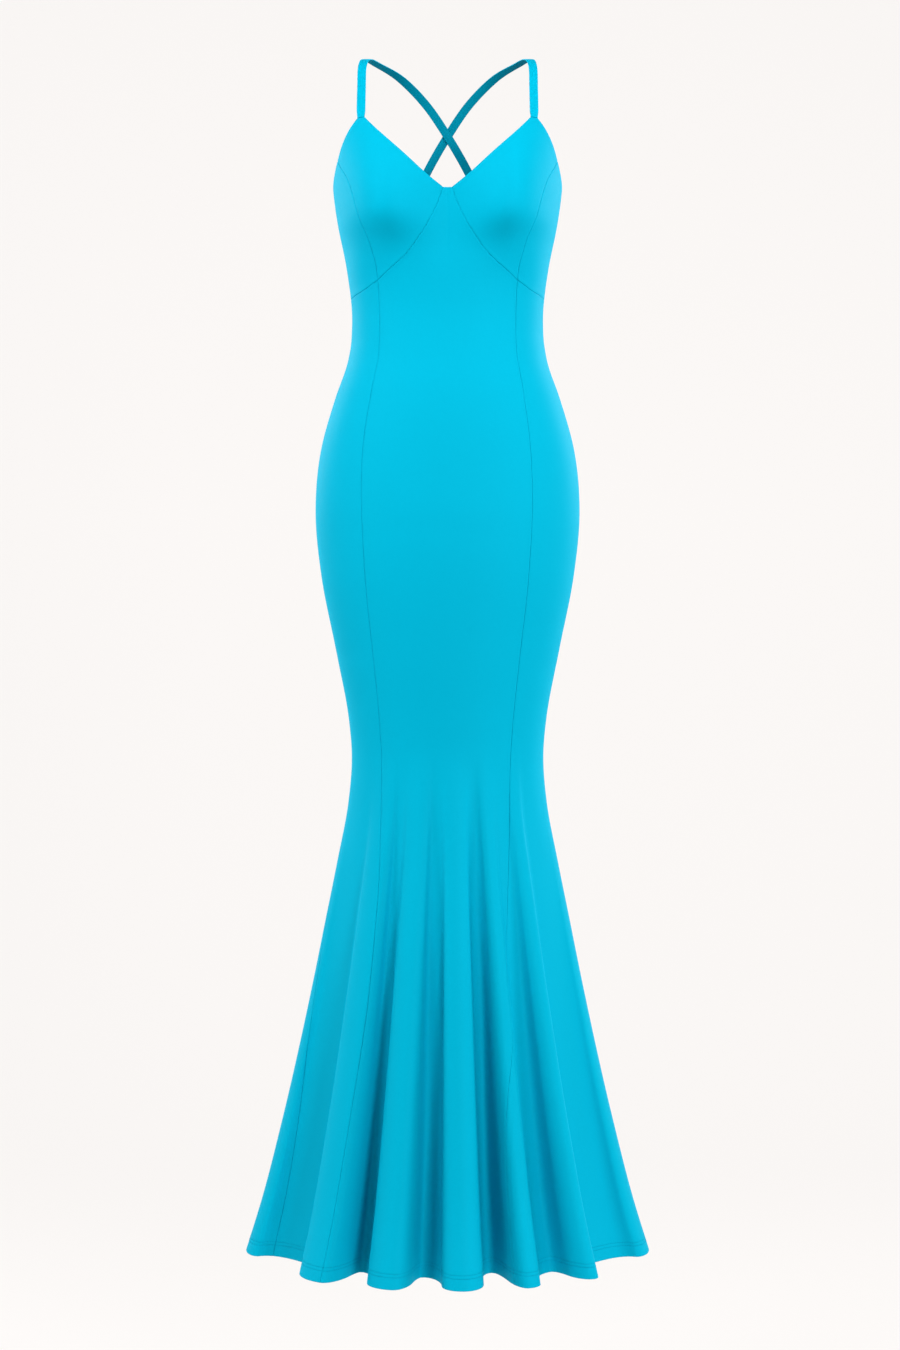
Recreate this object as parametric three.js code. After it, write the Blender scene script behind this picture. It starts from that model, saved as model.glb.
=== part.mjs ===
// A mermaid gown in its worn form: four cup pieces, six long panels that fit to the knee and
// flare into deep folds, and two flat straps that cross at the back.
// Millimetres, +Z up, front towards -Y. Left and right are the wearer's, so left is +X.
// The origin is midway between the tops of the straps, where the shoulders carry the gown.
//
// A place on the cloth is a bearing and a drop. The bearing is in degrees round the gown from
// the centre front, through +X at 90. The drop is the distance below the strap tops.
import * as THREE from "three";

// Cloth, seams and straps
const CLOTH = 1.5;
const SEAM_GAP = 0.3;
const STRAP_WIDTH = 10.8;
const STRAP_THICKNESS = 2;
const TURQUOISE = 0x00bee4;
const STRAP_TURQUOISE = 0x00b4da;
const CREPE_ROUGHNESS = 0.62;

// Levels, as drops
const KNEE = 868;
const HEM = 1488.4;

// Rows and columns of the walls
const ROWS_BELOW_CUPS = 24;
const ROWS_OF_CUPS = 6;
const STEPS_BESIDE_A_CROWN = 5;

// The form at each level: half width at the side seams, depths before and behind them, and how
// far the section is squared towards its corners.
const SECTIONS = [
  { drop: 60, side: 140.8, front: 82, back: 82, square: 0.05 },
  { drop: 165, side: 142.9, front: 98, back: 100, square: 0.05 },
  { drop: 215, side: 136, front: 97, back: 99, square: 0.05 },
  { drop: 265, side: 125.8, front: 92, back: 91, square: 0.045 },
  { drop: 334, side: 119.2, front: 86, back: 80, square: 0.04 },
  { drop: 377, side: 123.8, front: 89, back: 86, square: 0.035 },
  { drop: 427, side: 140.6, front: 97, back: 101, square: 0.03 },
  { drop: 490, side: 158, front: 104, back: 118, square: 0.03 },
  { drop: 567, side: 164.8, front: 108, back: 127, square: 0.03 },
  { drop: 646, side: 157.7, front: 106, back: 119, square: 0.03 },
  { drop: 740, side: 139.3, front: 98, back: 104, square: 0.025 },
  { drop: 827, side: 123.1, front: 90, back: 92, square: 0.02 },
  { drop: 868, side: 119.6, front: 88, back: 89, square: 0.015 },
  { drop: 930, side: 123.9, front: 93, back: 94, square: 0.005 },
  { drop: 1000, side: 137, front: 103, back: 104, square: 0 },
  { drop: 1070, side: 151.2, front: 116.5, back: 117, square: 0 },
  { drop: 1160, side: 169.4, front: 134.3, back: 134.3, square: 0 },
  { drop: 1327, side: 206.8, front: 167, back: 168, square: 0 },
  { drop: 1427, side: 232.6, front: 189.5, back: 191, square: 0 },
  { drop: 1488.4, side: 251.6, front: 208.9, back: 209, square: 0 },
];

// Each cup swells forward round its fullest point, with a longer slope above it than below.
const CUP = { out: 92, drop: 204, lift: 40, wide: 37, above: 62, below: 35 };

// The folds of the hem, in order round the gown: the bearing of each crown, its share of the turn
// to the valley before it and after it, and the bearing and depth of the valley that follows it.
const FOLDS = [
  { crown: -90, before: 0.4, after: 0.4, valley: -52.3, depth: 40.5 },
  { crown: -36.8, before: 0.76, after: 0.75, valley: -29.6, depth: 64.8 },
  { crown: -15, before: 0.6, after: 0.65, valley: -8, depth: 64.8 },
  { crown: 4.4, before: 0.49, after: 0.56, valley: 15.5, depth: 80.6 },
  { crown: 22.4, before: 0.55, after: 0.34, valley: 35.2, depth: 54.8 },
  { crown: 44.7, before: 0.66, after: 0.32, valley: 51.2, depth: 40 },
  { crown: 90, before: 0.41, after: 0.4, valley: 128, depth: 42 },
  { crown: 141, before: 0.66, after: 0.6, valley: 151.5, depth: 60 },
  { crown: 161, before: 0.6, after: 0.62, valley: 171.5, depth: 70 },
  { crown: 181, before: 0.52, after: 0.56, valley: 190.5, depth: 64 },
  { crown: 201, before: 0.62, after: 0.6, valley: 210.5, depth: 68 },
  { crown: 219, before: 0.58, after: 0.64, valley: 232, depth: 44 },
];
const CROWN_DEPTH = 0.75;
const FOLD_LEAN = 0.6;
const FOLD_DRAW = 0.66;
const FOLD_GROWTH = 1.3;

// Seams and edges on the left side. On the right they have the opposite bearing.
const NECK_EDGE = [
  { bearing: 2.1, drop: 181 },
  { bearing: 11.3, drop: 162.5 },
  { bearing: 22.9, drop: 135.5 },
  { bearing: 42.8, drop: 90 },
];
const ARMHOLE = [
  { bearing: 47.9, drop: 90 },
  { bearing: 54, drop: 102.5 },
  { bearing: 60.5, drop: 119 },
  { bearing: 66.7, drop: 138 },
];
const UNDERARM = [
  { bearing: 66.7, drop: 138 },
  { bearing: 74, drop: 152 },
  { bearing: 82, drop: 161 },
  { bearing: 90, drop: 165 },
];
const BACK_EDGE = [
  { bearing: 90, drop: 165 },
  { bearing: 110, drop: 174 },
  { bearing: 135, drop: 190 },
  { bearing: 158, drop: 200 },
  { bearing: 180, drop: 203 },
];
const CUP_SEAM = [
  { bearing: 66.7, drop: 138 },
  { bearing: 56.2, drop: 162 },
  { bearing: 51.6, drop: 187 },
  { bearing: 49.1, drop: 217 },
  { bearing: 45.4, drop: 245 },
  { bearing: 42.4, drop: 270 },
  { bearing: 42, drop: 289 },
];
const UNDER_CUP_SEAM = [
  { bearing: 2.1, drop: 181 },
  { bearing: 5.3, drop: 202 },
  { bearing: 9.9, drop: 222.5 },
  { bearing: 16.5, drop: 244.5 },
  { bearing: 25, drop: 264.5 },
  { bearing: 42, drop: 289 },
];
const RIB_SEAM = [
  { bearing: 42, drop: 289 },
  { bearing: 54, drop: 298 },
  { bearing: 70, drop: 302.5 },
  { bearing: 90, drop: 303 },
];

// The long seams: bearings by drop down to the hem, where each ends on a step of the folds. The
// right back seam mirrors the left one.
const LONG_SEAMS = [
  { drop: 289, right: 42, left: 42, backLeft: 138, sideRight: 90, sideLeft: 90 },
  { drop: 328, right: 42.4, left: 42.4, backLeft: 139, sideRight: 90, sideLeft: 90 },
  { drop: 381, right: 41, left: 41.3, backLeft: 141, sideRight: 90, sideLeft: 90 },
  { drop: 462, right: 39.6, left: 38.8, backLeft: 144, sideRight: 90, sideLeft: 90 },
  { drop: 605, right: 38, left: 37.4, backLeft: 146, sideRight: 90, sideLeft: 90 },
  { drop: 740, right: 40, left: 38.7, backLeft: 144, sideRight: 90, sideLeft: 90 },
  { drop: 868, right: 41.9, left: 39.6, backLeft: 141, sideRight: 90, sideLeft: 90 },
  { drop: 1034, right: 36, left: 33, backLeft: 139, sideRight: 86, sideLeft: 90 },
  { drop: 1147, right: 35, left: 28, backLeft: 139, sideRight: 80, sideLeft: 90 },
  { drop: 1300, right: 35.9, left: 21, backLeft: 140, sideRight: 71, sideLeft: 90 },
  { drop: 1488.4, right: 36.8, left: 19.64, backLeft: 141, sideRight: 67.38, sideLeft: 90 },
];

// The right strap's middle line, from its cup point over the shoulder to the back edge on the
// other side. The left strap is its mirror image, lifted over it where they cross.
const STRAP_ROUTE = [
  { x: -106, y: -45, z: -50 },
  { x: -105.5, y: -18, z: -13 },
  { x: -101, y: 1, z: -1.6 },
  { x: -88, y: 20, z: -3.5 },
  { x: -60, y: 46, z: -14.5 },
  { x: -28, y: 68, z: -42 },
  { x: 0, y: 83, z: -79.5 },
  { x: 26, y: 95, z: -122 },
  { x: 45, y: 99.5, z: -163 },
];
const STRAP_STEPS = 36;
const STRAP_BACK_BEARING = 151;
const STRAP_SLANT = THREE.MathUtils.degToRad(22);
const CROSSING = { lift: 2.8, reach: 60, z: -79.5 };

// A smooth curve through one column of a table, read at a value of its key column.
function along(table, column, at, key = "drop") {
  const last = table.length - 1;
  const slope = (i) => (table[i + 1][column] - table[i][column]) / (table[i + 1][key] - table[i][key]);
  const gradient = (i) => {
    if (i === 0) return slope(0);
    if (i === last) return slope(last - 1);
    const before = table[i][key] - table[i - 1][key];
    const after = table[i + 1][key] - table[i][key];
    return (slope(i - 1) * after + slope(i) * before) / (before + after);
  };
  const x = THREE.MathUtils.clamp(at, table[0][key], table[last][key]);
  let i = 0;
  while (i < last - 1 && x > table[i + 1][key]) i += 1;
  const h = table[i + 1][key] - table[i][key];
  const u = (x - table[i][key]) / h;
  const start = (1 + 2 * u) * (1 - u) ** 2 * table[i][column] + u * (1 - u) ** 2 * h * gradient(i);
  const end = u * u * (3 - 2 * u) * table[i + 1][column] + u * u * (u - 1) * h * gradient(i + 1);
  return start + end;
}

// A place at a fraction of the way along a seam or edge, the same for each stretch between rows.
function placeOn(edge, fraction) {
  const numbered = edge.map((place, step) => ({ ...place, step }));
  const at = fraction * (edge.length - 1);
  return { bearing: along(numbered, "bearing", at, "step"), drop: along(numbered, "drop", at, "step") };
}

// The half fold that a bearing lies in: its share of crown, its depth, its signed turn from crown
// to valley, and the way from one to the other.
function halfFold(bearing) {
  const turned = THREE.MathUtils.euclideanModulo(bearing - FOLDS[0].crown, 360) + FOLDS[0].crown;
  const i = FOLDS.findLastIndex((fold) => fold.crown <= turned);
  const fold = FOLDS[i];
  const after = FOLDS[(i + 1) % FOLDS.length];
  const nextCrown = i + 1 < FOLDS.length ? after.crown : after.crown + 360;
  if (turned <= fold.valley) {
    const span = fold.valley - fold.crown;
    return { way: (turned - fold.crown) / span, share: fold.after, depth: fold.depth, span };
  }
  const span = fold.valley - nextCrown;
  return { way: (turned - nextCrown) / span, share: after.before, depth: fold.depth, span };
}

// How far the folds set the cloth back, and turn it on round the gown. Crown and valley are both
// round, and the cloth stands steep where one passes into the other.
function foldAt(bearing, drop) {
  const grown = Math.max(0, (drop - KNEE) / (HEM - KNEE)) ** FOLD_GROWTH;
  const { way, share, depth, span } = halfFold(bearing);
  const onCrown = way < share;
  const arc = (Math.PI / 2) * (onCrown ? way / share : (1 - way) / (1 - share));
  const part = onCrown ? share : 1 - share;
  const deep = onCrown ? CROWN_DEPTH * share : 1 - CROWN_DEPTH * share;
  const across = part * Math.sin(arc);
  const down = deep * (1 - Math.cos(arc));
  const back = grown * depth * (onCrown ? down : 1 - down);
  const turn = FOLD_LEAN * Math.sqrt(grown) * span * ((onCrown ? across : 1 - across) - way);
  return { back, turn };
}

// How far a cup swells forward at a distance from the middle of the body.
function cupLift(out, drop) {
  const rise = CUP.drop - drop;
  const tall = rise > 0 ? CUP.above : CUP.below;
  const far = ((out - CUP.out) / CUP.wide) ** 2 + (rise / tall) ** 2;
  return CUP.lift * Math.exp(-far / 2);
}

// The outside of the cloth at a place.
function clothPoint(bearing, drop) {
  const fold = foldAt(bearing, drop);
  const turn = THREE.MathUtils.degToRad(bearing + fold.turn);
  const sin = Math.sin(turn);
  const cos = Math.cos(turn);
  const full = 1 + along(SECTIONS, "square", drop) * Math.sin(2 * turn) ** 2;
  const deep = along(SECTIONS, cos > 0 ? "front" : "back", drop);
  const back = Math.min(fold.back, deep * Math.abs(cos));
  const x = (along(SECTIONS, "side", drop) * full - FOLD_DRAW * back) * sin;
  const lift = cos > 0 ? cupLift(Math.abs(x), drop) * cos : 0;
  const y = -deep * cos * full + Math.sign(cos) * back - lift;
  return new THREE.Vector3(x, y, -drop);
}

// The outward direction of the cloth at a place.
function clothNormal(bearing, drop) {
  const step = 0.25;
  const around = clothPoint(bearing + step, drop).sub(clothPoint(bearing - step, drop));
  const down = clothPoint(bearing, drop + step).sub(clothPoint(bearing, drop - step));
  return down.cross(around).normalize();
}

// A closed wall between an outer and an inner grid of points.
function wallGeometry(outer, inner) {
  const rows = outer.length;
  const columns = outer[0].length;
  const points = [...outer.flat(), ...inner.flat()];
  const front = (j, i) => j * columns + i;
  const behind = (j, i) => rows * columns + j * columns + i;
  const faces = [];
  const quad = (a, b, c, d) => faces.push(a, b, c, a, c, d);
  for (let j = 0; j < rows - 1; j += 1) {
    for (let i = 0; i < columns - 1; i += 1) {
      quad(front(j, i), front(j + 1, i), front(j + 1, i + 1), front(j, i + 1));
      quad(behind(j, i), behind(j, i + 1), behind(j + 1, i + 1), behind(j + 1, i));
    }
    quad(front(j, 0), behind(j, 0), behind(j + 1, 0), front(j + 1, 0));
    const end = columns - 1;
    quad(front(j, end), front(j + 1, end), behind(j + 1, end), behind(j, end));
  }
  for (let i = 0; i < columns - 1; i += 1) {
    const bottom = rows - 1;
    quad(front(0, i), front(0, i + 1), behind(0, i + 1), behind(0, i));
    quad(front(bottom, i), behind(bottom, i), behind(bottom, i + 1), front(bottom, i + 1));
  }
  const geometry = new THREE.BufferGeometry();
  const numbers = points.flatMap((point) => point.toArray());
  geometry.setAttribute("position", new THREE.Float32BufferAttribute(numbers, 3));
  geometry.setIndex(faces);
  geometry.computeVertexNormals();
  return geometry;
}

// Half the seam gap, square to a sewn side and into the piece.
function seamInset(points, normals, j, i, side) {
  const rows = points.length - 1;
  const columns = points[0].length - 1;
  const alongRow = side === "top" || side === "bottom";
  const before = alongRow ? points[j][Math.max(0, i - 1)] : points[Math.max(0, j - 1)][i];
  const after = alongRow ? points[j][Math.min(columns, i + 1)] : points[Math.min(rows, j + 1)][i];
  const inwards = {
    top: () => points[j + 1][i],
    bottom: () => points[j - 1][i],
    start: () => points[j][i + 1],
    end: () => points[j][i - 1],
  }[side]();
  const inset = after.clone().sub(before).cross(normals[j][i]).normalize();
  if (inset.dot(inwards.clone().sub(points[j][i])) < 0) inset.negate();
  return inset.multiplyScalar(SEAM_GAP / 2);
}

// A piece of cloth from a grid of places, with rows from the top down and bearings that grow
// along each row. Its sewn sides stand back from their seams.
function clothPiece(places, sewn) {
  const points = places.map((row) => row.map((place) => clothPoint(place.bearing, place.drop)));
  const normals = places.map((row) => row.map((place) => clothNormal(place.bearing, place.drop)));
  const lastRow = points.length - 1;
  const lastColumn = points[0].length - 1;
  const outer = points.map((row, j) =>
    row.map((point, i) => {
      const sides = { top: j === 0, bottom: j === lastRow, start: i === 0, end: i === lastColumn };
      const moved = point.clone();
      for (const side of sewn) if (sides[side]) moved.add(seamInset(points, normals, j, i, side));
      return moved;
    }),
  );
  const inner = outer.map((row, j) =>
    row.map((point, i) => point.clone().addScaledVector(normals[j][i], -CLOTH)),
  );
  return wallGeometry(outer, inner);
}

// The same places on the right side of the gown, in the order of their bearings.
function mirrored(places) {
  return places.map((row) => row.map((place) => ({ ...place, bearing: -place.bearing })).reverse());
}

// Places between four edges: top and bottom run with the bearing, start and end run down.
function between(top, bottom, start, end) {
  const columns = top.length - 1;
  const rows = start.length - 1;
  return start.map((first, j) =>
    top.map((above, i) => {
      const u = i / columns;
      const v = j / rows;
      const blend = (field) =>
        (1 - v) * above[field] + v * bottom[i][field] + (1 - u) * first[field] + u * end[j][field]
        - (1 - u) * (1 - v) * top[0][field] - u * (1 - v) * top[columns][field]
        - (1 - u) * v * bottom[0][field] - u * v * bottom[columns][field];
      return { bearing: blend("bearing"), drop: blend("drop") };
    }),
  );
}

const sampled = (edge, steps) => Array.from({ length: steps + 1 }, (_, i) => placeOn(edge, i / steps));

// The bearings at the hem where the columns of the long panels end.
const hemSteps = FOLDS.flatMap((fold, i) => {
  const nextCrown = i + 1 < FOLDS.length ? FOLDS[i + 1].crown : FOLDS[0].crown + 360;
  const steps = Array.from({ length: STEPS_BESIDE_A_CROWN }, (_, k) => k / STEPS_BESIDE_A_CROWN);
  const falling = steps.map((part) => THREE.MathUtils.lerp(fold.crown, fold.valley, part));
  const rising = steps.map((part) => THREE.MathUtils.lerp(fold.valley, nextCrown, part));
  return [...falling, ...rising];
});

// The long seams in order round the gown, each with its bearing at any drop.
const seamBearing = {
  sideRight: (drop) => -along(LONG_SEAMS, "sideRight", drop),
  right: (drop) => -along(LONG_SEAMS, "right", drop),
  left: (drop) => along(LONG_SEAMS, "left", drop),
  sideLeft: (drop) => along(LONG_SEAMS, "sideLeft", drop),
  backLeft: (drop) => along(LONG_SEAMS, "backLeft", drop),
  backRight: (drop) => 360 - along(LONG_SEAMS, "backLeft", drop),
  sideRightAgain: (drop) => 360 - along(LONG_SEAMS, "sideRight", drop),
};

// The bearings across a long panel at a drop. Its columns keep to the crowns and valleys at the
// hem, and move with the seams higher up.
function acrossPanel(fromSeam, toSeam, drop) {
  const startAtHem = seamBearing[fromSeam](HEM);
  const endAtHem = seamBearing[toSeam](HEM);
  const tolerance = 0.01;
  const turns = [0, 360].flatMap((turn) => hemSteps.map((step) => step + turn));
  const isInside = (step) => step > startAtHem + tolerance && step < endAtHem - tolerance;
  const inside = turns.filter(isInside);
  const start = seamBearing[fromSeam](drop);
  const end = seamBearing[toSeam](drop);
  const atHem = [startAtHem, ...inside, endAtHem];
  return atHem.map((step) => THREE.MathUtils.mapLinear(step, startAtHem, endAtHem, start, end));
}

// How far the seam under the cups lies below the point where it meets the front seams.
const RIB_LEVEL = RIB_SEAM[0].drop;
const belowRibLevel = (bearing) => along(RIB_SEAM, "drop", Math.abs(bearing), "bearing") - RIB_LEVEL;

// A long panel's rows from the level of the rib seam to the hem. A row starts out parallel to
// that seam and ends level.
function panelRows(fromSeam, toSeam) {
  const top = acrossPanel(fromSeam, toSeam, RIB_LEVEL);
  const isFront = top[0] >= -90 && top[top.length - 1] <= 90;
  return Array.from({ length: ROWS_BELOW_CUPS + 1 }, (_, j) => {
    const part = j / ROWS_BELOW_CUPS;
    const level = THREE.MathUtils.lerp(RIB_LEVEL, HEM, part);
    return acrossPanel(fromSeam, toSeam, level).map((bearing) => {
      const lower = belowRibLevel(isFront ? bearing : 90);
      return { bearing, drop: level + lower * (1 - part) };
    });
  });
}

// The back edge at any bearing, alike on both sides of the centre back.
const backEdgeDrop = (bearing) => along(BACK_EDGE, "drop", 180 - Math.abs(180 - bearing), "bearing");

// A back panel's rows from the back edge down to the level of the rib seam.
function backRows(panel) {
  const top = panel[0];
  return Array.from({ length: ROWS_OF_CUPS }, (_, j) => {
    const part = j / ROWS_OF_CUPS;
    return top.map(({ bearing, drop }) => {
      const edge = backEdgeDrop(THREE.MathUtils.clamp(bearing, 90, 270));
      return { bearing, drop: THREE.MathUtils.lerp(edge, drop, part) };
    });
  });
}

// The centre front's rows from its point in the neck down to where the front seams begin.
function pointRows(panel) {
  const top = panel[0];
  const width = top[top.length - 1].bearing - top[0].bearing;
  return sampled(UNDER_CUP_SEAM, ROWS_OF_CUPS)
    .slice(0, -1)
    .map(({ bearing, drop }) =>
      top.map((place) => {
        const part = (place.bearing - top[0].bearing) / width;
        return { bearing: THREE.MathUtils.lerp(-bearing, bearing, part), drop };
      }),
    );
}

// The inner cup: the neck edge above, the seam under the cup at its start, the cup seam below
// and the strap's seat with the armhole at its end.
function innerCupPlaces() {
  const seat = NECK_EDGE[NECK_EDGE.length - 1];
  const neck = sampled(NECK_EDGE, ROWS_OF_CUPS);
  const cupSeam = sampled(CUP_SEAM, ROWS_OF_CUPS).reverse();
  const underCup = sampled(UNDER_CUP_SEAM, ROWS_OF_CUPS);
  const armhole = [seat, ...sampled(ARMHOLE, ROWS_OF_CUPS - 1)];
  return between(neck, cupSeam, underCup, armhole);
}

// The side cup: the underarm edge above, the cup seam at its start, the rib seam below and the
// side seam at its end.
function sideCupPlaces(ribPlaces) {
  const steps = ribPlaces.length - 1;
  const underarm = sampled(UNDERARM, steps);
  const sideTop = UNDERARM[UNDERARM.length - 1];
  const sideBottom = RIB_SEAM[RIB_SEAM.length - 1];
  const sideSeam = Array.from({ length: ROWS_OF_CUPS + 1 }, (_, j) => ({
    bearing: 90,
    drop: THREE.MathUtils.lerp(sideTop.drop, sideBottom.drop, j / ROWS_OF_CUPS),
  }));
  return between(underarm, ribPlaces, sampled(CUP_SEAM, ROWS_OF_CUPS), sideSeam);
}

// A flat band swept along stations, each with a middle, a half width and a half thickness.
function bandGeometry(stations) {
  const corner = (s, across, out) =>
    s.middle.clone().addScaledVector(s.across, across).addScaledVector(s.out, out);
  const outer = stations.map((s) => [corner(s, 1, 1), corner(s, -1, 1)]);
  const inner = stations.map((s) => [corner(s, 1, -1), corner(s, -1, -1)]);
  return wallGeometry(outer, inner);
}

// The place of a strap's end on the cloth, just off the edge that it is sewn into.
function strapEnd(bearing, edgeDrop, width) {
  const drop = edgeDrop(bearing);
  const normal = clothNormal(bearing, drop + 1);
  const step = 1;
  const after = clothPoint(bearing + step, edgeDrop(bearing + step));
  const edge = after.sub(clothPoint(bearing - step, edgeDrop(bearing - step))).normalize();
  const middle = clothPoint(bearing, drop - SEAM_GAP).addScaledVector(normal, -CLOTH / 2);
  const across = edge.multiplyScalar(width / 2);
  return { middle, across, out: normal.multiplyScalar(STRAP_THICKNESS / 2) };
}

// The strap that starts at the right cup point. It lies flat on a shoulder and back that run level
// from side to side. lift is how far it stands out at the crossing.
function strapStations(lift) {
  const seatBearing = (NECK_EDGE[NECK_EDGE.length - 1].bearing + ARMHOLE[0].bearing) / 2;
  const start = strapEnd(-seatBearing, () => ARMHOLE[0].drop, STRAP_WIDTH);
  const end = strapEnd(STRAP_BACK_BEARING, backEdgeDrop, STRAP_WIDTH / Math.cos(STRAP_SLANT));
  const middlePoints = STRAP_ROUTE.map(({ x, y, z }) => new THREE.Vector3(x, y, z));
  const ends = [start.middle, end.middle];
  const route = new THREE.CatmullRomCurve3([ends[0], ...middlePoints, ends[1]], false, "centripetal");
  const stations = Array.from({ length: STRAP_STEPS + 1 }, (_, i) => {
    const middle = route.getPointAt(i / STRAP_STEPS);
    const tangent = route.getTangentAt(i / STRAP_STEPS);
    const facing = new THREE.Vector3(0, -tangent.z, tangent.y).normalize();
    const across = tangent.clone().cross(facing);
    const near = Math.max(0, 1 - Math.abs(middle.z - CROSSING.z) / CROSSING.reach);
    const lifted = middle.y > 0 ? lift * near * near * (3 - 2 * near) : 0;
    middle.addScaledVector(facing, lifted);
    return {
      middle,
      across: across.multiplyScalar(STRAP_WIDTH / 2),
      out: facing.multiplyScalar(STRAP_THICKNESS / 2),
    };
  });
  if (stations[0].across.dot(start.across) < 0) start.across.negate();
  if (stations[STRAP_STEPS].across.dot(end.across) < 0) end.across.negate();
  stations[0] = start;
  stations[STRAP_STEPS] = end;
  return stations;
}

// Turns a band over to the other side of the gown.
function mirroredStations(stations) {
  const flip = (v) => v.clone().setX(-v.x);
  return stations.map(({ middle, across, out }) => {
    return { middle: flip(middle), across: flip(across).negate(), out: flip(out) };
  });
}

// A named solid in its own material.
function meshOf(name, geometry, color) {
  const material = new THREE.MeshStandardMaterial({ color, roughness: CREPE_ROUGHNESS });
  const mesh = new THREE.Mesh(geometry, material);
  mesh.name = name;
  return mesh;
}

const centreFront = panelRows("right", "left");
const sideFrontLeft = panelRows("left", "sideLeft");
const sideFrontRight = panelRows("sideRight", "right");
const sideBackLeft = panelRows("sideLeft", "backLeft");
const centreBack = panelRows("backLeft", "backRight");
const sideBackRight = panelRows("backRight", "sideRightAgain");
const innerCup = innerCupPlaces();
const ribLeft = sideFrontLeft[0];
const ribRight = mirrored([sideFrontRight[0]])[0];

const long = ["top", "start", "end"];
const openTop = ["start", "end"];
const pieces = [
  ["centre_front", clothPiece([...pointRows(centreFront), ...centreFront], openTop)],
  ["side_front_left", clothPiece(sideFrontLeft, long)],
  ["side_front_right", clothPiece(sideFrontRight, long)],
  ["side_back_left", clothPiece([...backRows(sideBackLeft), ...sideBackLeft], openTop)],
  ["centre_back", clothPiece([...backRows(centreBack), ...centreBack], openTop)],
  ["side_back_right", clothPiece([...backRows(sideBackRight), ...sideBackRight], openTop)],
  ["inner_cup_left", clothPiece(innerCup, ["bottom", "start"])],
  ["inner_cup_right", clothPiece(mirrored(innerCup), ["bottom", "end"])],
  ["side_cup_left", clothPiece(sideCupPlaces(ribLeft), ["bottom", "start", "end"])],
  ["side_cup_right", clothPiece(mirrored(sideCupPlaces(ribRight)), ["bottom", "start", "end"])],
];

const gown = new THREE.Group();
for (const [name, geometry] of pieces) gown.add(meshOf(name, geometry, TURQUOISE));
gown.add(meshOf("strap_right", bandGeometry(strapStations(0)), STRAP_TURQUOISE));
const overStrap = mirroredStations(strapStations(CROSSING.lift));
gown.add(meshOf("strap_left", bandGeometry(overStrap), STRAP_TURQUOISE));

export default gown;
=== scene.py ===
import bpy
import numpy as np
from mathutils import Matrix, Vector


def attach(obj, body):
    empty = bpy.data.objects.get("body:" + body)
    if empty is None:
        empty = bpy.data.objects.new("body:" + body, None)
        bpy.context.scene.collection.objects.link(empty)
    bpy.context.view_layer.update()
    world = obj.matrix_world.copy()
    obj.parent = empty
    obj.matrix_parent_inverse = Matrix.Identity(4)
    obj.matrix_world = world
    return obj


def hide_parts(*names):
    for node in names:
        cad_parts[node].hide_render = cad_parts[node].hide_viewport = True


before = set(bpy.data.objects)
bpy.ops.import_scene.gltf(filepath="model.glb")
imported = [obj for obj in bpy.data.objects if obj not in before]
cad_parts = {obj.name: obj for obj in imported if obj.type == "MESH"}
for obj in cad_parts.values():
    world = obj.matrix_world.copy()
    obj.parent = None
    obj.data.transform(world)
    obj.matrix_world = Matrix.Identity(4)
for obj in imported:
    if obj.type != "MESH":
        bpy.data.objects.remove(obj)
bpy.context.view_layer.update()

# The photographer's camera: level with the knees of the hanging gown and 3 m in front of its side
# seams, with a 64 mm lens on a frame 36 mm high. It is placed in metres. The gown is cut in mm.
MM = 0.001
CAMERA_PLACE = (3 * MM, -3.0, -770.9 * MM)
LENS, FRAME_HEIGHT, FAR_END = 64, 36, 60
camera = bpy.data.objects.new("camera", bpy.data.cameras.new("camera"))
camera.data.lens = LENS
camera.data.sensor_width = FRAME_HEIGHT
camera.data.clip_end = FAR_END
camera.location = CAMERA_PLACE
camera.rotation_euler = (np.pi / 2, 0, 0)
bpy.context.collection.objects.link(camera)
bpy.context.scene.camera = camera


# The crepe: a matt stretch crepe, turquoise all through, with a fine pebbled grain and a soft
# sheen where it turns away. It is dyed in the piece, so its tone varies only a little.
TURQUOISE = (0.0, 0.347, 0.508)
PEBBLE_SIZE = 0.0009
THREADS, THREAD_DETAIL = 420, 3
CLOUDS, CLOUD_DETAIL = 9, 2
PALE_AT, DEEP_AT = 0.45, 1.05
DEEP_TONE = (0.25, 0.3, 0.35, 1)
SMOOTHEST, ROUGHEST = 0.56, 0.66
GRAIN_HEIGHT, GRAIN_STRENGTH = 0.0003, 0.25
SHEEN_TINT, SHEEN_ROUGHNESS, SHINE = (0, 0.7, 1, 1), 0.45, 0.015


def add_node(nodes, kind, values=(), **settings):
    """A node of a material, with its settings and the values of some of its inputs."""
    node = nodes.new("ShaderNode" + kind)
    for key, value in settings.items():
        setattr(node, key, value)
    for key, value in dict(values).items():
        node.inputs[key].default_value = value
    return node


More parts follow.
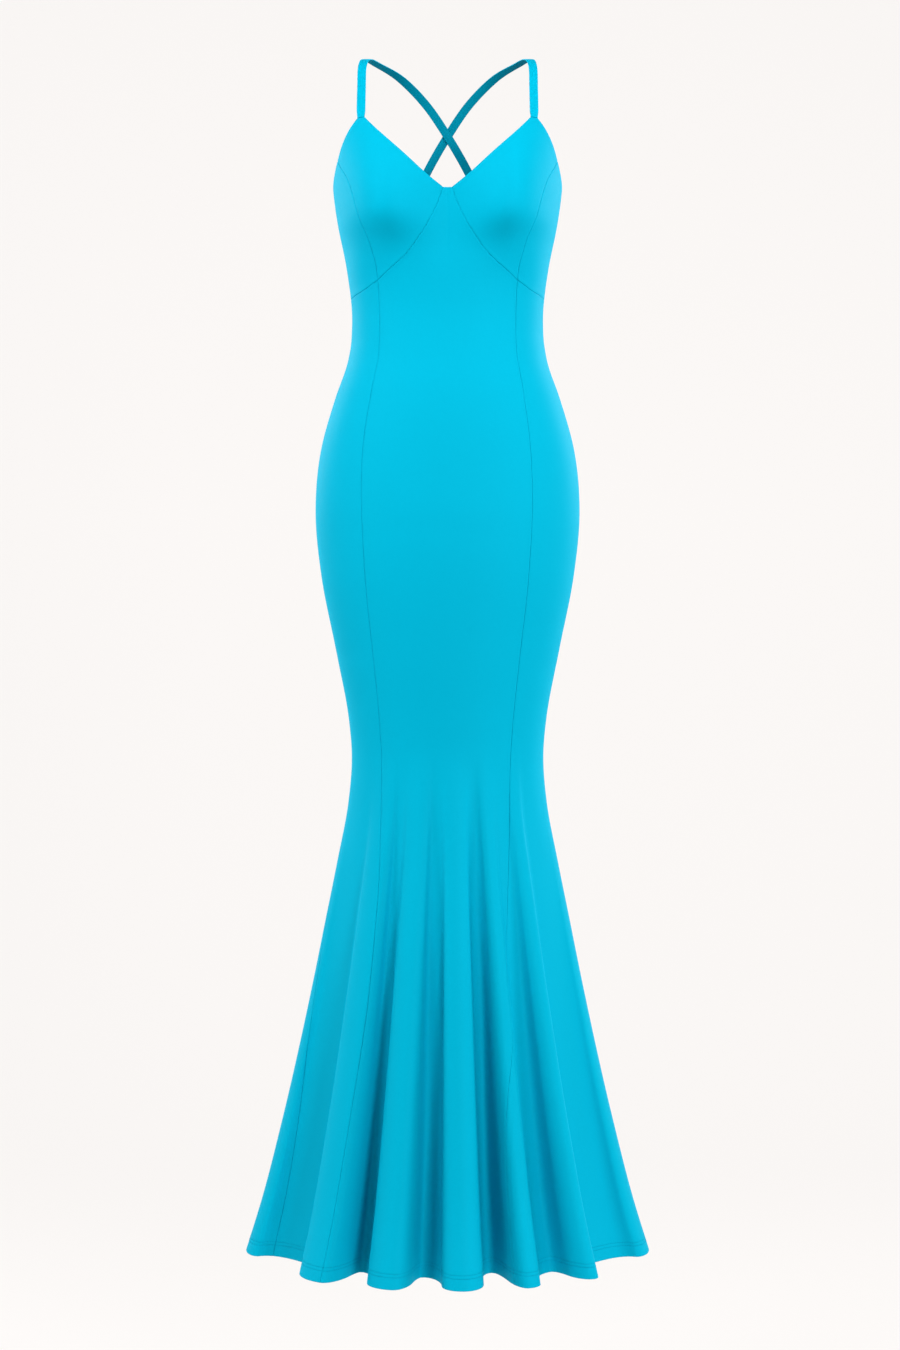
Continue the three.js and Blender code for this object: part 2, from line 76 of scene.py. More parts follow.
def crepe_group():
    """The grain of the crepe as a colour, a roughness and a height."""
    group = bpy.data.node_groups.new("crepe_grain", "ShaderNodeTree")
    face = group.interface
    for name, kind, value in (
        ("Colour", "NodeSocketColor", (*TURQUOISE, 1)),
        ("Grain size", "NodeSocketFloat", PEBBLE_SIZE),
        ("Grain depth", "NodeSocketFloat", 0.2),
        ("Unevenness", "NodeSocketFloat", 0.06),
    ):
        face.new_socket(name=name, in_out="INPUT", socket_type=kind).default_value = value
    face.new_socket(name="Colour", in_out="OUTPUT", socket_type="NodeSocketColor")
    face.new_socket(name="Roughness", in_out="OUTPUT", socket_type="NodeSocketFloat")
    face.new_socket(name="Height", in_out="OUTPUT", socket_type="NodeSocketFloat")
    nodes = group.nodes
    inside, outside = nodes.new("NodeGroupInput"), nodes.new("NodeGroupOutput")
    place = add_node(nodes, "TexCoord")
    fineness = add_node(nodes, "Math", {0: 1}, operation="DIVIDE")
    pebble = add_node(nodes, "TexVoronoi", feature="SMOOTH_F1")
    thread = add_node(nodes, "TexNoise", {"Scale": THREADS, "Detail": THREAD_DETAIL})
    cloud = add_node(nodes, "TexNoise", {"Scale": CLOUDS, "Detail": CLOUD_DETAIL})
    height = add_node(nodes, "Math", operation="MULTIPLY_ADD")
    patchy = add_node(nodes, "Math", {1: 0.5}, operation="MULTIPLY_ADD")
    deep_part = add_node(nodes, "MapRange", {"From Min": PALE_AT, "From Max": DEEP_AT})
    deep_share = add_node(nodes, "Math", operation="MULTIPLY")
    tone = add_node(nodes, "Mix", {"B": DEEP_TONE}, data_type="RGBA", blend_type="MULTIPLY")
    rough = add_node(nodes, "MapRange", {"From Min": 0.3, "From Max": 0.7, "To Min": SMOOTHEST,
                                         "To Max": ROUGHEST})
    for source, target in (
        (inside.outputs["Grain size"], fineness.inputs[1]),
        (place.outputs["UV"], pebble.inputs["Vector"]),
        (fineness.outputs[0], pebble.inputs["Scale"]),
        (place.outputs["Object"], thread.inputs["Vector"]),
        (place.outputs["Object"], cloud.inputs["Vector"]),
        (pebble.outputs["Distance"], height.inputs[0]),
        (inside.outputs["Grain depth"], height.inputs[1]),
        (thread.outputs["Fac"], height.inputs[2]),
        (height.outputs[0], outside.inputs["Height"]),
        (cloud.outputs["Fac"], patchy.inputs[0]),
        (thread.outputs["Fac"], patchy.inputs[2]),
        (patchy.outputs[0], deep_part.inputs["Value"]),
        (deep_part.outputs[0], deep_share.inputs[0]),
        (inside.outputs["Unevenness"], deep_share.inputs[1]),
        (deep_share.outputs[0], tone.inputs["Factor"]),
        (inside.outputs["Colour"], tone.inputs["A"]),
        (tone.outputs["Result"], outside.inputs["Colour"]),
        (thread.outputs["Fac"], rough.inputs["Value"]),
        (rough.outputs[0], outside.inputs["Roughness"]),
    ):
        group.links.new(source, target)
    return group


crepe_grain = crepe_group()


def crepe_material(name, colour, grain_depth=0.2, unevenness=0.06, sheen=0.12):
    material = bpy.data.materials.new(name)
    material.use_nodes = True
    nodes, links = material.node_tree.nodes, material.node_tree.links
    shader = nodes["Principled BSDF"]
    grain = add_node(nodes, "Group", node_tree=crepe_grain)
    grain.inputs["Colour"].default_value = (*colour, 1)
    grain.inputs["Grain depth"].default_value = grain_depth
    grain.inputs["Unevenness"].default_value = unevenness
    bump = add_node(nodes, "Bump", {"Strength": GRAIN_STRENGTH, "Distance": GRAIN_HEIGHT})
    links.new(grain.outputs["Colour"], shader.inputs["Base Color"])
    links.new(grain.outputs["Roughness"], shader.inputs["Roughness"])
    links.new(grain.outputs["Height"], bump.inputs["Height"])
    links.new(bump.outputs["Normal"], shader.inputs["Normal"])
    shader.inputs["Sheen Weight"].default_value = sheen
    shader.inputs["Sheen Roughness"].default_value = SHEEN_ROUGHNESS
    shader.inputs["Sheen Tint"].default_value = SHEEN_TINT
    shader.inputs["Specular IOR Level"].default_value = SHINE
    return material


crepe = crepe_material("turquoise_crepe", TURQUOISE)


# The long panels: six shaped lengths of the crepe that run from under the cups, or from the low
# back edge, to the hem. They fit to the knee and flare below it, where the extra width hangs in
# deep folds. They are sewn with plain seams pressed open, and the hem is turned up inside.
# A place on the cloth is a bearing in degrees round the gown from the centre front, through +X at
# 90, and a drop in mm below the strap tops. SECTIONS gives half widths, depths before and behind
# the side seams, and how far a section is squared towards its corners.
KNEE_DROP, HEM_DROP = 868, 1488.4
SECTIONS = {
    "drop": [60, 165, 215, 265, 334, 377, 427, 490, 567, 646, 740, 827, 868, 930, 1000, 1070, 1160, 1327,
             1427, 1488.4],
    "side": [140.8, 142.9, 136, 125.8, 119.2, 123.8, 140.6, 158, 164.8, 157.7, 139.3, 123.1, 119.6, 123.9,
             137, 151.2, 169.4, 206.8, 232.6, 251.6],
    "front": [82, 98, 97, 92, 86, 89, 97, 104, 108, 106, 98, 90, 88, 93, 103, 116.5, 134.3, 167, 189.5,
              208.9],
    "back": [82, 100, 99, 91, 80, 86, 101, 118, 127, 119, 104, 92, 89, 94, 104, 117, 134.3, 168, 191, 209],
    "square": [.05, .05, .05, .045, .04, .035, .03, .03, .03, .03, .025, .02, .015, .005, 0, 0, 0, 0, 0, 0],
}
CUP_OUT, CUP_DROP, CUP_LIFT = 92, 204, 40
CUP_WIDE, CUP_ABOVE, CUP_BELOW = 37, 62, 35
# One row for each fold: crown bearing, the crown's share of the turn to the valley before it and
# after it, how far it laps over the one before and the one after, bearing and depth of the valley
# after it.
FOLDS = np.array([
    (-90, 0.4, 0.4, 0.6, 0.6, -52.3, 52),
    (-36.8, 0.76, 0.75, 1.1, 0.6, -29.6, 64.8),
    (-15, 0.6, 0.65, 1.15, 0.6, -8, 64.8),
    (4.4, 0.49, 0.56, 0.95, 1.1, 15.5, 80.6),
    (22.4, 0.55, 0.34, 0.6, 1.1, 35.2, 54.8),
    (44.7, 0.66, 0.32, 0.5, 1.1, 51.2, 50),
    (90, 0.41, 0.4, 0.6, 0.6, 128, 42),
    (141, 0.66, 0.6, 0.9, 0.7, 151.5, 60),
    (161, 0.6, 0.62, 0.7, 1.05, 171.5, 70),
    (181, 0.52, 0.56, 0.9, 0.7, 190.5, 64),
    (201, 0.62, 0.6, 0.7, 1.05, 210.5, 68),
    (219, 0.58, 0.64, 0.6, 1, 232, 44),
])
CROWN_DEPTH, FOLD_DRAW, FOLD_GROWTH, LAP_GROWTH = 0.75, 0.66, 1.3, 1.6


def curve_through(keys, values, at):
    """A smooth curve through values at rising keys, read at any place."""
    keys, values = np.asarray(keys, float), np.asarray(values, float)
    steps = np.diff(keys)
    rises = np.diff(values) / steps
    gradients = np.empty_like(values)
    gradients[0], gradients[-1] = rises[0], rises[-1]
    gradients[1:-1] = (rises[:-1] * steps[1:] + rises[1:] * steps[:-1]) / (steps[1:] + steps[:-1])
    at = np.clip(np.asarray(at, float), keys[0], keys[-1])
    k = np.clip(np.searchsorted(keys, at, side="right") - 1, 0, len(keys) - 2)
    u = (at - keys[k]) / steps[k]
    first = (1 + 2 * u) * (1 - u) ** 2 * values[k] + u * (1 - u) ** 2 * steps[k] * gradients[k]
    second = u * u * (3 - 2 * u) * values[k + 1] + u * u * (u - 1) * steps[k] * gradients[k + 1]
    return first + second


def section(column, drop):
    """One measure of the gown's section at a drop."""
    return curve_through(SECTIONS["drop"], SECTIONS[column], drop)


def smooth_step(x, low, high):
    """Nought up to low and one from high, with an even rise between them."""
    u = np.clip((x - low) / (high - low), 0, 1)
    return u * u * (3 - 2 * u)


def fold_at(bearing, drop):
    """How far the folds set the cloth back, and turn it on round the gown. Crown and valley are
    both round, and the cloth stands steep where one passes into the other."""
    turned = np.mod(bearing - FOLDS[0, 0], 360) + FOLDS[0, 0]
    i = np.clip(np.searchsorted(FOLDS[:, 0], turned, side="right") - 1, 0, len(FOLDS) - 1)
    after = (i + 1) % len(FOLDS)
    crown, _, share_after, _, lap_after, valley, depth = np.moveaxis(FOLDS[i], -1, 0)
    falling = turned <= valley
    crown = np.where(falling, crown, FOLDS[after, 0] + np.where(after == 0, 360, 0))
    share = np.where(falling, share_after, FOLDS[after, 1])
    lap = np.where(falling, lap_after, FOLDS[after, 3])
    way = np.clip((turned - crown) / (valley - crown), 0, 1)
    on_crown = way < share
    arc = np.pi / 2 * np.where(on_crown, way / share, (1 - way) / (1 - share))
    across = np.where(on_crown, share * np.sin(arc), 1 - (1 - share) * np.sin(arc))
    deep = np.where(on_crown, CROWN_DEPTH * share, 1 - CROWN_DEPTH * share) * (1 - np.cos(arc))
    grown = np.clip((drop - KNEE_DROP) / (HEM_DROP - KNEE_DROP), 0, 1) ** FOLD_GROWTH
    back = grown * depth * np.where(on_crown, deep, 1 - deep)
    lap = lap * np.clip(LAP_GROWTH * np.sqrt(grown), 0, 1)
    return back, lap * (valley - crown) * (across - way)


def cloth_point(bearing, drop):
    """The outside of the cloth, in mm."""
    bearing, drop = np.broadcast_arrays(np.asarray(bearing, float), np.asarray(drop, float))
    back, turned_on = fold_at(bearing, drop)
    turn = np.radians(bearing + turned_on)
    sin, cos = np.sin(turn), np.cos(turn)
    full = 1 + section("square", drop) * np.sin(2 * turn) ** 2
    deep = np.where(cos > 0, section("front", drop), section("back", drop))
    back = np.minimum(back, deep * np.abs(cos))
    x = (section("side", drop) * full - FOLD_DRAW * back) * sin
    rise = CUP_DROP - drop
    tall = np.where(rise > 0, CUP_ABOVE, CUP_BELOW)
    lift = CUP_LIFT * np.exp(-(((np.abs(x) - CUP_OUT) / CUP_WIDE) ** 2 + (rise / tall) ** 2) / 2)
    y = -deep * cos * full + np.sign(cos) * back - np.where(cos > 0, lift * cos, 0)
    return np.stack([x, y, -drop], -1)


def cloth_normal(bearing, drop):
    """The way out of the cloth at a place."""
    step = 0.25
    around = cloth_point(bearing + step, drop) - cloth_point(bearing - step, drop)
    down = cloth_point(bearing, drop + step) - cloth_point(bearing, drop - step)
    out = np.cross(down, around)
    return out / np.linalg.norm(out, axis=-1, keepdims=True)


CLOTH, TURNED_CLOTH = 0.9, 0.8
ALLOWANCE, EDGE_TURN, HEM_TURN = 10, 8, 22
SEAM_GAP, SEAM_ROLL, SEAM_SINK = 0.1, 0.9, 0.7
SEAM_SWELL, SWELL_FROM_SEAM, SWELL_WIDTH = 0.14, 2.4, 1.3
EDGE_ROLL, EDGE_ROUND = 0.9, 0.44
HEM_LINES = (14, 18)
LINE_SINK, LINE_WIDTH = 0.2, 0.6
LONG_SEAMS = {
    "drop": [289, 328, 381, 462, 605, 740, 868, 1034, 1147, 1300, 1488.4],
    "right": [42, 42.4, 41, 39.6, 38, 40, 41.9, 36, 35, 35.9, 36.8],
    "left": [42, 42.4, 41.3, 38.8, 37.4, 38.7, 39.6, 33, 28, 21, 19.64],
    "back_left": [138, 139, 141, 144, 146, 144, 141, 139, 139, 140, 141],
    "back_right": [222, 221, 219, 216, 214, 216, 219, 221, 221, 220, 219],
    "side_right": [90, 90, 90, 90, 90, 90, 90, 86, 80, 71, 67.38],
    "side_left": [90] * 11,
}
RIB_SEAM = {"bearing": [42, 54, 70, 90], "drop": [289, 298, 302.5, 303]}
BACK_EDGE = {"bearing": [90, 110, 135, 158, 180], "drop": [165, 174, 190, 200, 203]}
UNDER_CUP_SEAM = {"bearing": [2.1, 5.3, 9.9, 16.5, 25, 42], "drop": [181, 202, 222.5, 244.5, 264.5, 289]}
RIB_LEVEL = RIB_SEAM["drop"][0]

# Soft creases, and a trough under each cup: the bearing and drop of the middle of each, its length
# down the gown, its width round it, how far its lower end leans round, and how deep it is.
CREASES = np.array([
    (-24, 905, 150, 26, 5, 0.5),
    (-9, 930, 190, 22, -3, 0.6),
    (12, 915, 170, 26, 4, 0.5),
    (31, 900, 150, 24, 6, 0.5),
    (-46, 925, 170, 26, -8, 0.7),
    (52, 920, 170, 28, 6, 0.7),
    (150, 915, 170, 28, 3, 0.7),
    (171, 930, 190, 26, -2, 0.8),
    (192, 905, 160, 24, 4, 0.6),
    (212, 920, 170, 26, -5, 0.7),
    (131, 930, 170, 26, 5, 0.6),
    (2, 540, 60, 90, 6, 0.7),
    (-14, 596, 30, 120, 16, 0.5),
    (70, 352, 16, 70, 18, 0.7),
    (-72, 360, 15, 64, -16, 0.6),
    (110, 348, 15, 66, 14, 0.7),
    (-112, 356, 16, 72, -18, 0.8),
    (168, 372, 18, 90, 10, 0.9),
    (193, 398, 17, 84, -9, 0.7),
    (60, 760, 24, 70, 12, 0.5),
    (-62, 745, 22, 76, -12, 0.6),
    (-49, 240, 40, 110, 16, 2.1),
    (43, 240, 38, 104, -14, 2.3),
])


MM_A_DEGREE = 1.9


def crease_at(bearing, drop):
    """How far the soft creases set the cloth in."""
    total = np.zeros(np.broadcast(bearing, drop).shape)
    for middle, level, tall, wide, lean, depth in CREASES:
        down = (drop - level) / (tall / 2)
        away = np.mod(bearing - middle - lean * down / 2 + 180, 360) - 180
        total = total + depth * np.exp(-((away * MM_A_DEGREE) / (wide / 2)) ** 2 - down ** 2)
    return total


def seam_bearing(name, drop):
    """The bearing of a long seam, counted on from the centre front and past the centre back."""
    bearing = curve_through(LONG_SEAMS["drop"], LONG_SEAMS[name.replace("_again", "")], drop)
    if name in ("right", "side_right"):
        return -bearing
    return 360 - bearing if name == "side_right_again" else bearing


def back_edge_drop(bearing):
    """The drop of the low back edge."""
    return curve_through(BACK_EDGE["bearing"], BACK_EDGE["drop"], 180 - np.abs(180 - bearing))


def rib_drop(bearing):
    """The drop of the seam under the cups."""
    return curve_through(RIB_SEAM["bearing"], RIB_SEAM["drop"], np.abs(bearing))


def place_on(edge, part):
    """A place at a part of the way along an edge, the same for each stretch between its rows."""
    steps = np.arange(len(edge["drop"]))
    at = np.asarray(part, float) * steps[-1]
    return curve_through(steps, edge["bearing"], at), curve_through(steps, edge["drop"], at)


# How far the rows and columns of the cloth lie from a seam, a turned edge and the hem.
SEAM_STEPS = np.array([0, 0.25, 0.55, 0.9, 1.6, 3, 5.5, 9.7, 10.3])
EDGE_STEPS = np.array([0, 0.2, 0.5, 0.9, 2, 4.5, 7.7, 8.3])
HEM_STEPS = np.array([0, 0.2, 0.5, 0.9, 2.5, 6, 10, 12.8, 13.5, 14, 14.5, 15.2, 16.8, 17.5, 18, 18.5, 19.2,
                      21.7, 22.3, 27])


def spaced(length, before, after, count):
    """Places along a length: set ones near both ends and count even ones between them."""
    even = np.linspace(before[-1], length - after[-1], count)
    return np.concatenate([before[:-1], even, length - after[-2::-1]])


def reach_from(points, axis, from_end=False):
    """How far each point of a grid lies from its first row or column, or from its last."""
    grid = np.flip(points, axis) if from_end else points
    reach = np.cumsum(np.linalg.norm(np.diff(grid, axis=axis), axis=-1), axis=axis)
    reach = np.concatenate([np.zeros_like(np.take(reach, [0], axis=axis)), reach], axis=axis)
    return np.flip(reach, axis) if from_end else reach


def roll_off(reach, radius, depth):
    """The drop of a rounded edge: nothing past its radius, and the whole depth at the edge."""
    away = np.clip(1 - reach / radius, 0, 1)
    return depth * (1 - np.sqrt(1 - away ** 2))


def add_piece(name, points, faces, materials, flat=None):
    """A piece from its points in mm and its faces, with each point's place in the flat cut."""
    mesh = bpy.data.meshes.new(name)
    mesh.from_pydata((points.reshape(-1, 3) * MM).tolist(), [], faces.tolist())
    if flat is not None:
        layer = mesh.uv_layers.new(name="cut")
        corners = np.empty(len(mesh.loops), np.int32)
        mesh.loops.foreach_get("vertex_index", corners)
        layer.data.foreach_set("uv", (flat.reshape(-1, 2) * MM)[corners].ravel())
    mesh.polygons.foreach_set("use_smooth", np.ones(len(mesh.polygons), bool))
    for material in materials:
        mesh.materials.append(material)
    mesh.update()
    piece = bpy.data.objects.new(name, mesh)
    bpy.context.collection.objects.link(piece)
    return piece


def shell_object(name, outer, inner, flat, material):
    """A closed shell between two grids of points."""
    rows, columns = outer.shape[:2]
    front = np.arange(rows * columns).reshape(rows, columns)
    behind = front + rows * columns
    a, b, c, d = front[:-1, :-1], front[1:, :-1], front[1:, 1:], front[:-1, 1:]
    faces = [np.stack([a, b, c, d], -1).reshape(-1, 4)]
    faces.append(np.stack([a, d, c, b], -1).reshape(-1, 4) + rows * columns)
    for near, far in ((front[0], behind[0]), (front[::-1, 0], behind[::-1, 0]),
                      (front[-1, ::-1], behind[-1, ::-1]), (front[:, -1], behind[:, -1])):
        faces.append(np.stack([near[:-1], near[1:], far[1:], far[:-1]], -1))
    faces = np.concatenate(faces)
    return add_piece(name, np.stack([outer, inner]), faces, [material], np.stack([flat, flat]))


# For each side of a grid: its axis, whether it is the far end, its edge, and a line just within.
SIDES = {
    "top": (0, False, np.s_[0, :], np.s_[3, :]),
    "bottom": (0, True, np.s_[-1, :], np.s_[-4, :]),
    "start": (1, False, np.s_[:, 0], np.s_[:, 3]),
    "end": (1, True, np.s_[:, -1], np.s_[:, -4]),
}


def sew_cloth(name, places, sewn, turned=(), hem=False):
    """A piece of cloth from its grid of bearings and drops, with rows from the top down. A sewn
    side rolls into its seam, with the pressed allowance inside it. A turned side is a folded edge
    with its turning inside it."""
    bearing, drop = places
    points = cloth_point(bearing, drop)
    normals = cloth_normal(bearing, drop)
    reach = {side: reach_from(points, axis, from_end) for side, (axis, from_end, _, _) in SIDES.items()}
    out = -crease_at(bearing, drop)
    thick = np.full(drop.shape, CLOTH)
    rim = np.zeros(drop.shape)
    for side in sewn:
        out = out - roll_off(reach[side], SEAM_ROLL, SEAM_SINK)
        out = out + SEAM_SWELL * np.exp(-((reach[side] - SWELL_FROM_SEAM) / SWELL_WIDTH) ** 2)
        thick = np.maximum(thick, CLOTH + TURNED_CLOTH * (reach[side] < ALLOWANCE))
    folded = [*turned, "bottom"] if hem else turned
    for side in folded:
        turn = HEM_TURN if side == "bottom" else EDGE_TURN
        thick = np.maximum(thick, CLOTH + TURNED_CLOTH * (reach[side] < turn))
        rim = np.maximum(rim, roll_off(reach[side], EDGE_ROLL, 1))
    if hem:
        for line in HEM_LINES:
            out = out - LINE_SINK * np.exp(-((reach["bottom"] - line) / LINE_WIDTH) ** 2)
    outer = points + normals * (out - rim * thick * EDGE_ROUND)[..., None]
    inner = points + normals * (out - thick + rim * thick * EDGE_ROUND)[..., None]
    for side in sewn:
        _, _, edge, within = SIDES[side]
        inset = np.cross(np.gradient(points[edge], axis=0), normals[edge])
        inset /= np.linalg.norm(inset, axis=-1, keepdims=True)
        inset *= np.sign(np.sum(inset * (points[within] - points[edge]), -1, keepdims=True))
        outer[edge] += inset * SEAM_GAP / 2
        inner[edge] += inset * SEAM_GAP / 2
    piece = shell_object(name, outer, inner, np.stack([reach["start"], drop], -1), crepe)
    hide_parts(name.replace("crepe_", ""))
    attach(piece, "root")
    return piece


COLUMNS_APART, ROWS_APART = 4.6, 8.6
BEARINGS_TRIED = 900
BACK_TOP_STEPS = np.array([0, 4])
MEETING_STEPS = np.array([0, 0.1])
ROWS_TO_BACK_EDGE, ROWS_TO_NECK = 16, 22


def panel_places(first_seam, last_seam, is_front):
    """A long panel's places from the level of the rib seam to the hem."""
    tall = HEM_DROP - RIB_LEVEL
    top_steps = SEAM_STEPS if is_front else BACK_TOP_STEPS
    levels = RIB_LEVEL + spaced(tall, top_steps, HEM_STEPS, int(tall / ROWS_APART))
    start, end = seam_bearing(first_seam, levels), seam_bearing(last_seam, levels)
    fine = start[:, None] + (end - start)[:, None] * np.linspace(0, 1, BEARINGS_TRIED)
    run = reach_from(cloth_point(fine, levels[:, None]), 1)
    count = int(run[:, -1].max() / COLUMNS_APART)
    bearing = np.stack([
        np.interp(spaced(lengths[-1], SEAM_STEPS, SEAM_STEPS, count), lengths, bearings)
        for lengths, bearings in zip(run, fine)
    ])
    left = ((HEM_DROP - levels) / tall)[:, None]
    lower = rib_drop(np.clip(bearing, -90, 90) if is_front else np.full(bearing.shape, 90.0))
    return bearing, levels[:, None] + (lower - RIB_LEVEL) * left


def up_to_back_edge(places):
    """A back panel's places carried on up to the low back edge."""
    bearing, drop = places
    edge = back_edge_drop(np.clip(bearing[0], 90, 270))
    tall = (drop[0] - edge).mean()
    parts = spaced(tall, EDGE_STEPS, MEETING_STEPS, ROWS_TO_BACK_EDGE)[:-2] / tall
    upper = edge + (drop[0] - edge) * parts[:, None]
    return np.vstack([np.broadcast_to(bearing[0], upper.shape), bearing]), np.vstack([upper, drop])


def up_to_neck_point(places):
    """The centre front's places carried on up to its narrow point in the neck."""
    bearing, drop = places
    parts = np.linspace(0, 1, 400)
    tall = RIB_LEVEL - UNDER_CUP_SEAM["drop"][0]
    levels = UNDER_CUP_SEAM["drop"][0] + spaced(tall, EDGE_STEPS, MEETING_STEPS, ROWS_TO_NECK)[:-2]
    half, level = place_on(UNDER_CUP_SEAM, np.interp(levels, place_on(UNDER_CUP_SEAM, parts)[1], parts))
    across = (bearing[0] - bearing[0, 0]) / (bearing[0, -1] - bearing[0, 0])
    upper = half[:, None] * (2 * across - 1)
    return np.vstack([upper, bearing]), np.vstack([np.broadcast_to(level[:, None], upper.shape), drop])


SEWN_LONG = ("start", "end")
places = up_to_neck_point(panel_places("right", "left", True))
sew_cloth("crepe_centre_front", places, SEWN_LONG, ("top",), hem=True)
for name, first_seam, last_seam in (
    ("crepe_side_front_left", "left", "side_left"),
    ("crepe_side_front_right", "side_right", "right"),
):
    sew_cloth(name, panel_places(first_seam, last_seam, True), ("top", *SEWN_LONG), hem=True)
for name, first_seam, last_seam in (
    ("crepe_side_back_left", "side_left", "back_left"),
    ("crepe_centre_back", "back_left", "back_right"),
    ("crepe_side_back_right", "back_right", "side_right_again"),
):
    places = up_to_back_edge(panel_places(first_seam, last_seam, False))
    sew_cloth(name, places, SEWN_LONG, ("top",), hem=True)


# The cups: each is cut in two, an inner piece from the neck edge to the curved cup seam and a side
# piece from there to the side seam. The neck, armhole and underarm edges are plain turned edges.
NECK_EDGE = {"bearing": [2.1, 11.3, 22.9, 42.8], "drop": [181, 162.5, 135.5, 90]}
ARMHOLE = {"bearing": [47.9, 54, 60.5, 66.7], "drop": [90, 102.5, 119, 138]}
UNDERARM = {"bearing": [66.7, 74, 82, 90], "drop": [138, 152, 161, 165]}
CUP_SEAM = {
    "bearing": [66.7, 56.2, 51.6, 49.1, 45.4, 42.4, 42],
    "drop": [138, 162, 187, 217, 245, 270, 289],
}
STRAP_SEAT_PART = 1 / 6
INNER_CUP = {"across": 180, "columns": 62, "down": 100, "rows": 40}
SIDE_CUP = {"across": 90, "columns": 26, "down": 140, "rows": 40}


def between(top, bottom, start, end, across, down):
    """Places between four edges: top and bottom run with the bearing, start and end run down."""
    u, v = across[None, :], down[:, None]
    blends = []
    for k in (0, 1):
        above, below, first, last = top[k][None, :], bottom[k][None, :], start[k][:, None], end[k][:, None]
        corners = (1 - u) * (1 - v) * top[k][0] + u * (1 - v) * top[k][-1]
        corners = corners + (1 - u) * v * bottom[k][0] + u * v * bottom[k][-1]
        blends.append((1 - v) * above + v * below + (1 - u) * first + u * last - corners)
    return blends


def other_side(places):
    """The same places on the right side of the gown, in the order of their bearings."""
    bearing, drop = places
    return -bearing[:, ::-1], drop[:, ::-1]


def parts_along(cup, way, lines, before, after):
    """The parts of the way across or down a cup at which its columns or rows lie."""
    return spaced(cup[way], before, after, cup[lines]) / cup[way]


def inner_cup_places():
    """The inner cup, from its seam with the centre front to the strap's seat and the armhole."""
    across = parts_along(INNER_CUP, "across", "columns", SEAM_STEPS, EDGE_STEPS)
    down = parts_along(INNER_CUP, "down", "rows", EDGE_STEPS, SEAM_STEPS)
    down[np.argmin(np.abs(down - STRAP_SEAT_PART))] = STRAP_SEAT_PART
    seat = [NECK_EDGE[key][-1] for key in ("bearing", "drop")]
    on_armhole = place_on(ARMHOLE, np.clip((down - STRAP_SEAT_PART) / (1 - STRAP_SEAT_PART), 0, 1))
    on_seat = np.clip(down / STRAP_SEAT_PART, 0, 1)
    end = [seat[k] + (on_armhole[k] - seat[k]) * on_seat for k in (0, 1)]
    top, bottom = place_on(NECK_EDGE, across), place_on(CUP_SEAM, 1 - across)
    return between(top, bottom, place_on(UNDER_CUP_SEAM, down), end, across, down)


def side_cup_places():
    """The side cup, from the curved cup seam to the side seam."""
    across = parts_along(SIDE_CUP, "across", "columns", SEAM_STEPS, SEAM_STEPS)
    down = parts_along(SIDE_CUP, "down", "rows", EDGE_STEPS, SEAM_STEPS)
    (first, *_, last), (*_, lowest) = RIB_SEAM["bearing"], RIB_SEAM["drop"]
    underarm = UNDERARM["drop"][-1]
    rib_bearing = first + (last - first) * across
    side_seam = [np.full(down.shape, float(last)), underarm + (lowest - underarm) * down]
    bottom = [rib_bearing, rib_drop(rib_bearing)]
    return between(place_on(UNDERARM, across), bottom, place_on(CUP_SEAM, down), side_seam, across, down)


inner_cup = inner_cup_places()
side_cup = side_cup_places()
sew_cloth("crepe_inner_cup_left", inner_cup, ("bottom", "start"), ("top", "end"))
sew_cloth("crepe_inner_cup_right", other_side(inner_cup), ("bottom", "end"), ("top", "start"))
sew_cloth("crepe_side_cup_left", side_cup, ("bottom", "start", "end"), ("top",))
sew_cloth("crepe_side_cup_right", other_side(side_cup), ("bottom", "start", "end"), ("top",))


# The straps: narrow tubes of the crepe, turned right side out and pressed flat, 10 mm wide, with
# painted shade on the face that lies towards the wearer: a darker copy of the crepe in place of
# the shade there. Each runs from a cup point over the shoulder, crosses the other and ends in the low back
# edge.
STRAP_WIDTH, STRAP_THICKNESS, STRAP_WALL = 10.8, 1.9, 0.6
STRAP_ROUTE = np.array([
    (-106, -45, -50),
    (-105.5, -18, -13),
    (-101, 1, -1.6),
    (-88, 20, -3.5),
    (-60, 46, -14.5),
    (-28, 68, -42),
    (0, 83, -79.5),
    (26, 95, -122),
    (45, 99.5, -163),
])
STRAP_BACK_BEARING = 151
STRAP_SLANT = np.radians(22)
CROSSING_LIFT, CROSSING_REACH, CROSSING_Z = 2.8, 60, -79.5
END_TWIST, END_ROLL, END_SINK = 16, 0.5, 0.35
STRAP_SIDES, STRAP_ROWS, PLACES_TRIED = 24, 190, 1500
STRAP_SQUARENESS = 0.42
PRESSED_IN, PRESSED_AT, PRESSED_WIDTH = 0.22, 0.72, 0.12
# Painted shade: the strap face that lies towards the wearer takes the crepe darkened by this share.
PAINTED_SHADE_TONE = 0.55
strap_crepes = [
    crepe_material("strap_crepe", TURQUOISE),
    crepe_material("strap_crepe_painted_shade", tuple(PAINTED_SHADE_TONE * value for value in TURQUOISE)),
]


def unit(vectors):
    return vectors / np.linalg.norm(vectors, axis=-1, keepdims=True)


def strap_end(bearing, edge_drop, width):
    """The middle of a strap's end at an edge of the cloth, and half its width along that edge."""
    drop = edge_drop(bearing)
    normal = unit(cloth_normal(bearing, drop + 1))
    after, before = (cloth_point(bearing + step, edge_drop(bearing + step)) for step in (1, -1))
    middle = cloth_point(bearing, drop - SEAM_GAP) - normal * CLOTH / 2
    return middle, unit(after - before) * width / 2


